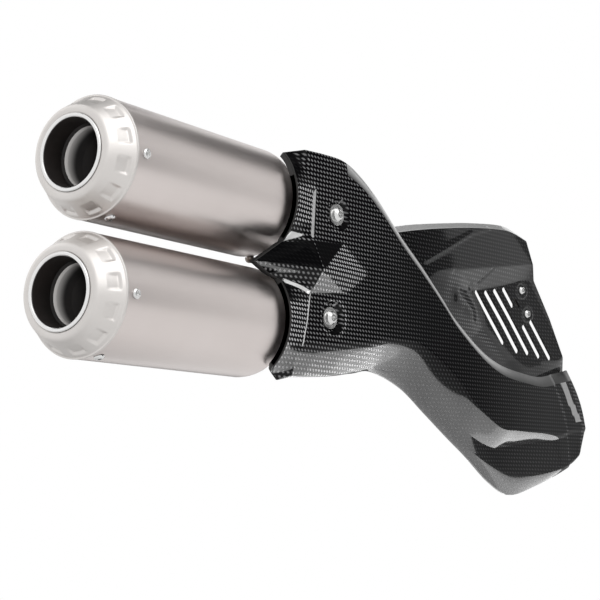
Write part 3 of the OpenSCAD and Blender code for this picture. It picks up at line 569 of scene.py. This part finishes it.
# Materials, with the colour sockets of Blender's mix node
MIX_A, MIX_B, MIX_RESULT = 6, 7, 2


class Nodes:
    """Short names for building one node material."""

    def __init__(self, name):
        self.material = bpy.data.materials.new(name)
        self.material.use_nodes = True
        self.tree = self.material.node_tree
        self.shader = self.tree.nodes["Principled BSDF"]

    def add(self, kind, **settings):
        node = self.tree.nodes.new(kind)
        for key, value in settings.items():
            setattr(node, key, value)
        return node

    def link(self, source, target):
        self.tree.links.new(source, target)

    def coords(self, kind="Object"):
        return self.add("ShaderNodeTexCoord").outputs[kind]

    def split(self, vector):
        """X, Y and Z of a vector."""
        parts = self.add("ShaderNodeSeparateXYZ")
        self.link(vector, parts.inputs[0])
        return parts.outputs

    def noise(self, scale, detail=4.0, stretch=(1, 1, 1)):
        mapping = self.add("ShaderNodeMapping")
        mapping.inputs["Scale"].default_value = stretch
        self.link(self.coords(), mapping.inputs["Vector"])
        noise = self.add("ShaderNodeTexNoise")
        noise.inputs["Scale"].default_value = scale
        noise.inputs["Detail"].default_value = detail
        self.link(mapping.outputs["Vector"], noise.inputs["Vector"])
        return noise.outputs["Fac"]

    def ramp(self, source, *stops):
        """Colour ramp; each stop is a place and a grey or a colour."""
        ramp = self.add("ShaderNodeValToRGB")
        elements = ramp.color_ramp.elements
        while len(elements) < len(stops):
            elements.new(0.5)
        for element, (place, colour) in zip(elements, stops):
            element.position = place
            shade = (colour,) * 3 if isinstance(colour, (int, float)) else colour
            element.color = (*shade, 1)
        self.link(source, ramp.inputs["Fac"])
        return ramp.outputs["Color"]

    def fade(self, source, places, levels):
        """Smooth change from one level to another between two places."""
        node = self.add("ShaderNodeMapRange", interpolation_type="SMOOTHSTEP")
        for key, value in zip(("From Min", "From Max", "To Min", "To Max"), (*places, *levels)):
            node.inputs[key].default_value = value
        self.link(source, node.inputs["Value"])
        return node.outputs["Result"]

    def math(self, operation, a, b=0.0, c=0.0):
        node = self.add("ShaderNodeMath", operation=operation)
        for socket, value in zip(node.inputs, (a, b, c)):
            if isinstance(value, (int, float)):
                socket.default_value = value
            else:
                self.link(value, socket)
        return node.outputs[0]

    def half_up(self, source):
        """A value between -1 and 1 as a value between 0 and 1."""
        return self.math("MULTIPLY_ADD", source, 0.5, 0.5)

    def mix(self, factor, a, b):
        node = self.add("ShaderNodeMix", data_type="RGBA")
        self.link(factor, node.inputs["Factor"])
        for socket, value in ((node.inputs[MIX_A], a), (node.inputs[MIX_B], b)):
            if isinstance(value, tuple):
                socket.default_value = (*value, 1)
            else:
                self.link(value, socket)
        return node.outputs[MIX_RESULT]

    def bump(self, height, strength, distance):
        bump = self.add("ShaderNodeBump")
        bump.inputs["Strength"].default_value = strength
        bump.inputs["Distance"].default_value = distance
        self.link(height, bump.inputs["Height"])
        self.link(bump.outputs["Normal"], self.shader.inputs["Normal"])

    def colour(self, source):
        self.link(source, self.shader.inputs["Base Color"])

    def roughness(self, source):
        self.link(source, self.shader.inputs["Roughness"])

    def surface(self, source):
        self.link(source, self.tree.nodes["Material Output"].inputs["Surface"])

    def set(self, **values):
        for name, value in values.items():
            self.shader.inputs[name.replace("_", " ")].default_value = value


def titanium():
    n = Nodes("satin_titanium")
    n.set(Metallic=1.0)
    cloud = n.noise(9, 3)
    n.colour(n.ramp(cloud, (0.3, (0.62, 0.565, 0.545)), (0.7, (0.66, 0.605, 0.585))))
    grain = n.noise(700, 2, (0.12, 1, 1))
    n.roughness(n.ramp(grain, (0.3, 0.28), (0.7, 0.33)))
    n.bump(grain, 0.02, 0.0001)
    return n.material


def cast_silver():
    n = Nodes("blasted_silver")
    n.set(Metallic=1.0)
    cloud = n.noise(30, 3)
    n.colour(n.ramp(cloud, (0.3, (0.65, 0.625, 0.605)), (0.7, (0.71, 0.685, 0.665))))
    grain = n.noise(2200, 3)
    n.roughness(n.ramp(grain, (0.3, 0.46), (0.7, 0.54)))
    n.bump(grain, 0.12, 0.0003)
    return n.material


def bright_steel():
    n = Nodes("bright_steel")
    n.set(Metallic=1.0)
    cloud = n.noise(220, 4)
    n.colour(n.ramp(cloud, (0.3, (0.62, 0.62, 0.62)), (0.7, (0.76, 0.76, 0.75))))
    n.roughness(n.ramp(cloud, (0.3, 0.18), (0.7, 0.30)))
    n.bump(n.noise(1400, 2), 0.06, 0.0002)
    return n.material


def dark_steel():
    n = Nodes("heat_stained_steel")
    n.set(Metallic=1.0)
    grey, straw, blue = (0.16, 0.145, 0.14), (0.24, 0.205, 0.18), (0.20, 0.20, 0.235)
    n.colour(n.ramp(n.noise(14, 5), (0.3, grey), (0.55, straw), (0.75, blue)))
    n.roughness(n.ramp(n.noise(160, 4), (0.3, 0.32), (0.7, 0.48)))
    n.bump(n.noise(1200, 2), 0.08, 0.0003)
    return n.material


def rubber():
    n = Nodes("moulded_rubber")
    grain = n.noise(700, 4)
    n.colour(n.ramp(grain, (0.3, 0.02), (0.7, 0.04)))
    n.roughness(n.ramp(grain, (0.3, 0.6), (0.7, 0.8)))
    n.bump(grain, 0.2, 0.0004)
    return n.material


def wool():
    n = Nodes("packing_wool")
    fibre = n.noise(260, 8, (1, 6, 6))
    n.colour(n.ramp(fibre, (0.3, (0.34, 0.28, 0.17)), (0.7, (0.66, 0.58, 0.40))))
    n.roughness(n.ramp(fibre, (0.3, 0.8), (0.7, 1.0)))
    n.bump(fibre, 0.6, 0.001)
    return n.material


# Radius within which a surface counts as the bore's, and stations between which its metal turns to soot
OUTLET_BORE_R = 28.3
OUTLET_SOOT = (-3.4, -2.0)
INSERT_BORE_R = 25.4
INSERT_SOOT = (17.0, 32.0)


def depth_mask(n, which, stations):
    """1 at an outlet's mouth and 0 deeper in, between two stations along the muffler."""
    places = [(AXIS_X[which] + s - INLET[0]) / 1000 for s in stations]
    return n.fade(n.split(n.coords())["X"], places, (1.0, 0.0))


def bore_mask(n, which, radius):
    """1 in a bore round the muffler's axis and 0 outside it."""
    away = n.add("ShaderNodeVectorMath", operation="SUBTRACT")
    away.inputs[1].default_value = metres((0, 0, AXIS_Z[which]))
    n.link(n.coords(), away.inputs[0])
    radial = n.add("ShaderNodeVectorMath", operation="MULTIPLY")
    radial.inputs[1].default_value = (0, 1, 1)
    n.link(away.outputs[0], radial.inputs[0])
    length = n.add("ShaderNodeVectorMath", operation="LENGTH")
    n.link(radial.outputs[0], length.inputs[0])
    return n.math("LESS_THAN", length.outputs["Value"], radius / 1000)


def outlet_metal(which):
    """Bright lip that turns to soot inside the outlet."""
    n = Nodes(which + "_outlet_metal")
    outside = n.math("SUBTRACT", 1.0, bore_mask(n, which, OUTLET_BORE_R))
    lip = n.math("MAXIMUM", depth_mask(n, which, OUTLET_SOOT), outside)
    soot = n.ramp(n.noise(60, 5), (0.3, (0.010, 0.007, 0.006)), (0.7, (0.020, 0.014, 0.012)))
    n.colour(n.mix(lip, soot, (0.80, 0.795, 0.79)))
    n.link(lip, n.shader.inputs["Metallic"])
    n.roughness(n.ramp(lip, (0, 0.75), (1, 0.26)))
    n.bump(n.noise(900, 3), 0.1, 0.0003)
    return n.material


def insert_metal(which):
    """Pale rim that turns to soot inside the insert."""
    n = Nodes(which + "_insert_metal")
    inside = bore_mask(n, which, INSERT_BORE_R)
    rim = n.math("MULTIPLY", depth_mask(n, which, INSERT_SOOT), inside)
    soot = n.ramp(n.noise(60, 5), (0.3, (0.006, 0.005, 0.005)), (0.7, (0.012, 0.010, 0.009)))
    n.colour(n.mix(rim, soot, (0.62, 0.60, 0.585)))
    n.roughness(n.ramp(rim, (0, 0.9), (1, 0.6)))
    n.bump(n.noise(900, 3), 0.1, 0.0003)
    return n.material


# Carbon, with lengths and places along X in metres of the shared frame
WEAVE_X = 0.0043
WEAVE_Z = 0.0040
TOW_LEAN = 1.1
# Painted sheen on the weave's dots, which fades between two places along X to these levels, and grows
# this many times on faces that turn forward
SHEEN_PLACES = (-0.36, -0.20)
SHEEN_LEVELS = (0.6, 0.1)
FORWARD_SHEEN_GAIN = 4.0
# Painted grey sheen that grows towards the front, up to this place along X and this level
FRONT_SHEEN_END = 0.03
FRONT_SHEEN_LEVEL = 0.035
# Painted highlight on rolled edges, which fades to dark over this length along X, between these levels
EDGE_HIGHLIGHT_FADE = 0.09
EDGE_HIGHLIGHT_LEVELS = (1.0, 0.15)


def tow_crowns(n, place):
    """1 on the crown of each tow and 0 between them, in slanted rows."""
    row = n.math("MULTIPLY", place["Z"], 2 * math.pi / WEAVE_Z)
    lean = n.math("MULTIPLY", n.math("SINE", row), TOW_LEAN)
    column = n.math("MULTIPLY_ADD", place["X"], 2 * math.pi / WEAVE_X, lean)
    across = n.half_up(n.math("COSINE", column))
    down = n.half_up(n.math("COSINE", row))
    return n.math("MULTIPLY", across, down)


def weave_sheen_level(n, place, tilt, turn):
    """Painted sheen on the weave's dots: weaker to the front and on faces that turn up, stronger on
    faces that turn forward.
    """
    cloud = n.ramp(n.noise(26, 3), (0.3, 0.7), (0.7, 1.0))
    drift = n.math("MULTIPLY", cloud, n.fade(place["X"], SHEEN_PLACES, SHEEN_LEVELS))
    below = n.ramp(tilt, (0.56, 1.0), (0.66, 0.02))
    ahead = n.math("MULTIPLY", n.ramp(turn, (0.45, 0.0), (0.48, 1.0)), FORWARD_SHEEN_GAIN)
    return n.math("MULTIPLY", drift, n.math("MAXIMUM", below, ahead))


def carbon(name, face_coat, low_coat, front_sheen_from):
    """Clear-coated weave on a black ground, with painted sheen on its dots, a painted grey sheen to the
    front and painted highlights on marked facets.
    """
    n = Nodes(name)
    place = n.split(n.coords())
    lie = n.split(n.coords("Normal"))
    tilt, turn = n.half_up(lie["Z"]), n.half_up(lie["X"])
    crown = tow_crowns(n, place)
    bright = n.ramp(crown, (0.24, 0.0), (0.95, 1.0))
    # The weave's dots, brightened by the painted sheen
    shine = n.math("MULTIPLY", bright, weave_sheen_level(n, place, tilt, turn))
    weave = n.ramp(shine, (0.0, (0.004, 0.004, 0.0045)), (1.0, (0.6, 0.6, 0.61)))
    # Painted highlights: pale grey under a full coat on the marked facets
    highlight_mark = n.add("ShaderNodeAttribute", attribute_name="highlight_mark").outputs["Fac"]
    painted_highlight = n.ramp(highlight_mark, (0.4, 0.0), (0.6, 1.0))
    # Painted grey sheen, growing towards the front
    front_sheen = n.fade(place["X"], (front_sheen_from, FRONT_SHEEN_END), (0.0, FRONT_SHEEN_LEVEL))
    n.colour(n.mix(n.math("MAXIMUM", painted_highlight, front_sheen), weave, (0.85, 0.85, 0.85)))
    n.roughness(n.ramp(crown, (0.2, 0.5), (0.8, 0.34)))
    n.bump(crown, 0.2, 0.0004)
    clear = n.ramp(tilt, (0.3, low_coat), (0.45, face_coat), (0.6, face_coat), (0.66, face_coat * 0.4))
    n.link(n.math("MAXIMUM", clear, painted_highlight), n.shader.inputs["Coat Weight"])
    n.set(Specular_IOR_Level=0.0, Coat_Roughness=0.08)
    return n.material


def polished_grain(n):
    """Fine grain of a polished coat, in its gloss and its relief."""
    grain = n.noise(300, 3)
    n.roughness(n.ramp(grain, (0.3, 0.3), (0.7, 0.42)))
    n.bump(grain, 0.05, 0.0002)
    n.set(Coat_Roughness=0.1)
    return grain


def carbon_edge_highlight(name, highlight_fade_from):
    """Edge with a painted highlight where it turns up, which fades to dark towards the front."""
    n = Nodes(name)
    # Painted highlight: paler grey on faces that turn up, fading to dark towards the front
    up = n.ramp(n.half_up(n.split(n.coords("Normal"))["Z"]), (0.5, 0.01), (0.66, 0.45))
    fade = n.fade(n.split(n.coords())["X"], (highlight_fade_from, highlight_fade_from + EDGE_HIGHLIGHT_FADE), EDGE_HIGHLIGHT_LEVELS)
    n.colour(n.math("MULTIPLY", up, fade))
    n.link(fade, n.shader.inputs["Coat Weight"])
    polished_grain(n)
    return n.material


def carbon_crease_highlight():
    """Painted highlight, pale grey under a full clear coat, on the step along the collar's crease."""
    n = Nodes("carbon_crease_highlight")
    n.colour(n.ramp(polished_grain(n), (0.3, 0.8), (0.7, 0.95)))
    n.set(Coat_Weight=1.0)
    return n.material


def paint(piece, *materials):
    """Give a piece these materials in place of its own."""
    piece.data.materials.clear()
    for material in materials:
        piece.data.materials.append(material)


# Material slots of the two sheets; the edge and the crease step carry painted highlights
WEAVE, EDGE_HIGHLIGHT, RUBBER, CREASE_HIGHLIGHT = range(4)
# Columns past the collar's where the rolled top gets a painted highlight, and least height of a step
# that gets a painted highlight
ROLL_FROM = 30
STEP_MIN = 0.5
# Guard faces that turn up this far, above this height in metres, are its flange, which gets a painted
# highlight
FLANGE_UP = 0.6
FLANGE_Z = 0.15
# Facets with painted highlights where the collar meets the fin, and a dimmer painted highlight along the
# front edge, as x and z
FIN_HIGHLIGHTS = [((233, 15), (238, 25), (255, 24)), ((231, -18), (258, -27), (258, -30), (232, -22))]
FRONT_HIGHLIGHT = ((676, -80), (690, -78), (727, -125), (713, -127))
FRONT_HIGHLIGHT_LEVEL = 0.49
FRONT_COLUMNS = 40
HIGHLIGHT_BLUR = 1.5


def depth_inside(corners, x, z):
    """How far points lie inside a convex outline, negative outside it."""
    depth = np.full(x.shape, np.inf)
    for start, end in zip(corners, corners[1:] + corners[:1]):
        depth = np.minimum(depth, side_of(x, z, start, end) / math.dist(start, end))
    return depth


def mark_shield_highlights(shield, points):
    """Mark the facets with painted highlights on the mesh for its material."""
    highlight_mark = np.zeros(points.shape[:2])
    facets = [(corners, slice(0, BAND_STEPS + 2), 1.0) for corners in FIN_HIGHLIGHTS]
    facets.append((FRONT_HIGHLIGHT, slice(-FRONT_COLUMNS, None), FRONT_HIGHLIGHT_LEVEL))
    for corners, part, level in facets:
        depth = depth_inside(corners, points[part, :, 0], points[part, :, 2])
        highlight_mark[part] = np.maximum(highlight_mark[part], level * np.clip(0.5 + depth / HIGHLIGHT_BLUR, 0, 1))
    values = np.concatenate([highlight_mark.ravel(), np.zeros(highlight_mark.size)])
    shield.data.attributes.new("highlight_mark", "FLOAT", "POINT").data.foreach_set("value", values)


def trim_shield(shield, points):
    """Painted highlight on the rolled top, rubber on the collar's lip and a painted highlight on the
    crease's step.
    """
    columns, rows = points.shape[:2]
    finish = np.full((columns - 1, rows - 1), WEAVE)
    finish[BAND_STEPS + RUN_STEPS + ROLL_FROM:, :len(ROLL_STEPS) - 1] = EDGE_HIGHLIGHT
    foot, crease = points[BAND_STEPS + 1, 1:], points[BAND_STEPS + 2, 1:]
    # The crease's step gets a painted highlight
    finish[BAND_STEPS + 1][foot[:, 1] - crease[:, 1] > STEP_MIN] = CREASE_HIGHLIGHT
    for face, number in zip(shield.data.polygons, finish.ravel()):
        face.material_index = int(number)
    for face in shield.data.polygons:
        if max(v % (columns * rows) for v in face.vertices) < 2 * rows:
            face.material_index = RUBBER


def trim_guard(guard):
    """Painted highlight on the guard's flange."""
    for face in guard.data.polygons:
        on_flange = face.normal.z > FLANGE_UP and face.center.z > FLANGE_Z
        face.material_index = EDGE_HIGHLIGHT if on_flange else WEAVE


# Stage, in metres of the shared frame
FLOOR_Z = -0.26
FLOOR_R = 40.0
FLOOR_SIDES = 64
FLOOR_GREY = 0.82
# The floor turns white between two distances from the shadow's middle
SHADOW_MIDDLE = (-0.5, 0.35, FLOOR_Z)
WHITE_PLACES = (0.15, 0.6)
WHITE_LEVELS = (0.3, 1.0)
WORLD_LEVEL = 0.45
# Name, centre, aim, width, height and brightness of each card
CARDS = [
    ("outboard_card", (1.0, -2.85, 0.8), (-0.1, -0.9, 0.8), 2.1, 2.2, 0.015),
    ("high_outboard_card", (0.5, -1.2, 1.6), (-0.4, 0, 0.1), 0.8, 1.0, 0.015),
    ("overhead_card", (0.75, 0.0, 1.05), (-0.5, 0.03, 0.2), 0.8, 0.75, 0.1),
    ("inboard_card", (-0.15, 0.5, 1.15), (-0.63, 0.05, 0.2), 0.8, 0.9, 0.1),
    ("gap_card", (0.45, 0.85, 0.1), (-0.5, 0.07, 0.11), 1.0, 0.95, 0.02),
]
# Name, place, aim, size and power of each lamp
MIDDLE = (-0.25, 0, 0.05)
LAMPS = [
    ("key", (-0.7, -1.7, 1.9), MIDDLE, 3.0, 30),
    ("back", (-0.6, 1.8, 1.4), MIDDLE, 2.4, 5),
]
LOW_LAMPS = [
    ("low_wide", (0.04, -0.07, -0.22), (0.04, -0.07, 1), 0.68, 9.0),
    ("low_spot", (0.19, -0.13, -0.2), (0.19, -0.13, 1), 0.3, 0.8),
]
OUTLET_LAMP = ("outlet_fill", (-1.6, -0.85, 0.1), (-0.63, 0.07, 0.11), 0.3, 10)
# Camera of the photograph, found from the mufflers' circles and axes
CAMERA_PLACE = (-1.4751, -0.6962, -0.0699)
CAMERA_RIGHT = Vector((0.54437, -0.83845, 0.02572))
CAMERA_DOWN = Vector((0.10799, 0.03964, -0.99336))
CAMERA_FORWARD = Vector((0.83187, 0.54353, 0.11213))
CAMERA_LENS = 87.81
CAMERA_SENSOR = 36
CAMERA_CLIP = 50


def facing(place, aim, axis):
    """Turn that points an axis of an object from its place to its aim."""
    return (Vector(aim) - Vector(place)).to_track_quat(axis, "Y").to_euler()


def seen_rays(tree):
    """1 for rays that look at a surface, straight or by reflection, and 0 for the light it sheds."""
    path = tree.nodes.new("ShaderNodeLightPath")
    seen = path.outputs["Is Camera Ray"]
    for ray in ("Is Glossy Ray", "Is Transmission Ray"):
        both = tree.nodes.new("ShaderNodeMath")
        both.operation = "MAXIMUM"
        tree.links.new(seen, both.inputs[0])
        tree.links.new(path.outputs[ray], both.inputs[1])
        seen = both.outputs[0]
    return seen


def card(name, centre, aim, width, height, level):
    """A flat studio card of an even brightness that only reflections see."""
    half_w, half_h = width / 2, height / 2
    corners = [(-half_w, -half_h, 0), (half_w, -half_h, 0), (half_w, half_h, 0), (-half_w, half_h, 0)]
    panel = mesh_object(name, corners, [(0, 1, 2, 3)])
    panel.location = centre
    panel.rotation_euler = facing(centre, aim, "Z")
    panel.visible_camera = False
    panel.visible_diffuse = False
    panel.visible_shadow = False
    n = Nodes(name)
    glow = n.add("ShaderNodeEmission")
    glow.inputs["Strength"].default_value = level
    n.surface(glow.outputs[0])
    paint(panel, n.material)


def stage_floor():
    """Pale floor that takes the object's shadow and turns to plain white further out."""
    turns = np.linspace(0, 2 * math.pi, FLOOR_SIDES, endpoint=False)
    points = [(FLOOR_R * math.cos(a), FLOOR_R * math.sin(a), FLOOR_Z) for a in turns]
    floor = mesh_object("floor", points, [tuple(range(FLOOR_SIDES))])
    n = Nodes("pale_floor")
    n.colour(n.ramp(n.noise(3, 2), (0.3, FLOOR_GREY), (0.7, FLOOR_GREY * 1.04)))
    n.set(Roughness=1.0)
    glow = n.add("ShaderNodeEmission")
    glow.inputs["Color"].default_value = (1, 1, 1, 1)
    reach = n.add("ShaderNodeVectorMath", operation="DISTANCE")
    reach.inputs[1].default_value = SHADOW_MIDDLE
    n.link(n.coords(), reach.inputs[0])
    white = n.fade(reach.outputs["Value"], WHITE_PLACES, WHITE_LEVELS)
    blend = n.add("ShaderNodeMixShader")
    n.link(n.math("MULTIPLY", seen_rays(n.tree), white), blend.inputs[0])
    n.link(n.shader.outputs[0], blend.inputs[1])
    n.link(glow.outputs[0], blend.inputs[2])
    n.surface(blend.outputs[0])
    paint(floor, n.material)


def studio_world(level):
    """White surroundings that shed less light than they show."""
    world = bpy.data.worlds.new("studio")
    bpy.context.scene.world = world
    world.use_nodes = True
    tree = world.node_tree
    strength = tree.nodes.new("ShaderNodeMapRange")
    strength.inputs["To Min"].default_value = level
    strength.inputs["To Max"].default_value = 1.0
    tree.links.new(seen_rays(tree), strength.inputs["Value"])
    background = tree.nodes["Background"]
    background.inputs["Color"].default_value = (1, 1, 1, 1)
    tree.links.new(strength.outputs["Result"], background.inputs["Strength"])


def soft_light(name, place, aim, size, power):
    """A round area lamp."""
    data = bpy.data.lights.new(name, "AREA")
    data.shape = "DISK"
    data.size = size
    data.energy = power
    lamp = bpy.data.objects.new(name, data)
    lamp.location = place
    lamp.rotation_euler = facing(place, aim, "-Z")
    bpy.context.scene.collection.objects.link(lamp)
    return lamp


def shine_on(lamp, pieces):
    """Keep a lamp's light to some pieces, as a flag does in a studio."""
    lit = bpy.data.collections.new(lamp.name + "_receivers")
    for piece in pieces:
        lit.objects.link(piece)
    lamp.light_linking.receiver_collection = lit


def photo_camera():
    """The photograph's camera."""
    data = bpy.data.cameras.new("photo_camera")
    data.sensor_width = CAMERA_SENSOR
    data.lens = CAMERA_LENS
    data.clip_end = CAMERA_CLIP
    camera = bpy.data.objects.new("photo_camera", data)
    turn = Matrix((CAMERA_RIGHT, -CAMERA_DOWN, -CAMERA_FORWARD)).transposed().to_4x4()
    camera.matrix_world = Matrix.Translation(CAMERA_PLACE) @ turn
    bpy.context.scene.collection.objects.link(camera)
    bpy.context.scene.camera = camera


# Pieces
shield_points = shield_grid()
shield = shell("carbon_shield", shield_points, "heat_shield")
guard = heel_guard()
caps = [end_cap(which) for which in AXIS_Z]
wires = [springs(which) for which in AXIS_Z]

# Finishes
finishes = {
    "titanium": titanium(),
    "cast_silver": cast_silver(),
    "bright_steel": bright_steel(),
    "dark_steel": dark_steel(),
    "rubber": rubber(),
    "wool": wool(),
    # Carbon with painted sheen on its weave and towards the front
    "carbon": carbon("carbon_weave", face_coat=0.06, low_coat=0.3, front_sheen_from=-0.15),
}
for part in frame["record"]["subparts"]:
    paint(nodes[part["node"]], finishes[part["material_slot"]])
for piece in [*caps, *wires]:
    paint(piece, finishes[piece["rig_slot"]])
for which in AXIS_Z:
    paint(nodes[which + "_outlet_tube"], outlet_metal(which))
    paint(nodes[which + "_noise_insert"], insert_metal(which))
# Painted highlights on the rolled edges of both sheets and on the shield's crease step
shield_edge_highlight = carbon_edge_highlight("carbon_edge_highlight", highlight_fade_from=-0.13)
paint(shield, finishes["carbon"], shield_edge_highlight, finishes["rubber"], carbon_crease_highlight())
guard_weave = carbon("guard_weave", face_coat=0.45, low_coat=0.9, front_sheen_from=-0.3)
paint(guard, guard_weave, carbon_edge_highlight("guard_edge_highlight", highlight_fade_from=0.1))
# Facets that get painted highlights
mark_shield_highlights(shield, shield_points)
trim_shield(shield, shield_points)
trim_guard(guard)

# Lights and camera
stage_floor()
studio_world(WORLD_LEVEL)
for settings in CARDS:
    card(*settings)
for settings in LAMPS:
    soft_light(*settings)
for settings in LOW_LAMPS:
    low = soft_light(*settings)
    low.visible_diffuse = False
    shine_on(low, [shield])
shine_on(soft_light(*OUTLET_LAMP), [nodes[which + "_noise_insert"] for which in AXIS_Z])
photo_camera()
bpy.context.scene.view_settings.view_transform = "Standard"
